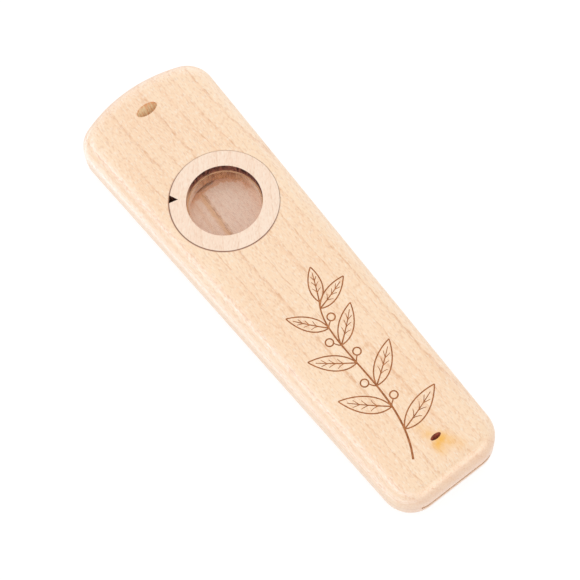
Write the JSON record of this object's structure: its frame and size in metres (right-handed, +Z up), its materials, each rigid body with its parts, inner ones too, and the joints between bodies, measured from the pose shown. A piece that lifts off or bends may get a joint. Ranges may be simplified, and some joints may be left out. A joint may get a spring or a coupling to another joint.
{
  "type": "wooden kazoo",
  "caption": "Flat maple kazoo with a rounded tail, a film membrane clamped under a flush wooden ring, a slit mouthpiece and an oval outlet.",
  "frame": {"origin": "under the middle of the body, on the flat face that it rests on", "axes": "+Y along the body from the mouth end to the rounded tail, +Z up through the face with the ring"},
  "size_m": [0.0352, 0.12, 0.012],
  "materials": {
    "face_maple": "sanded, oiled satin",
    "back_maple": "sanded, oiled satin",
    "film": "clear film",
    "ring_maple": "sanded, laser-cut edges"
  },
  "bodies": {
    "body": {"face_half": "face_maple", "back_half": "back_maple"},
    "ring": {"clamp_ring": "ring_maple"},
    "film": {"membrane": "film"}
  },
  "joints": [
    {"name": "ring_lift", "type": "slide", "parent": "body", "child": "ring", "axis": [0, 0, 1], "range_m": [0, 0.024]},
    {"name": "film_lift", "type": "slide", "parent": "body", "child": "film", "axis": [0, 0, 1], "range_m": [0, 0.012]}
  ],
  "couplings": [
    {"joint": "film_lift", "follows": "ring_lift", "ratio": 0.5}
  ]
}
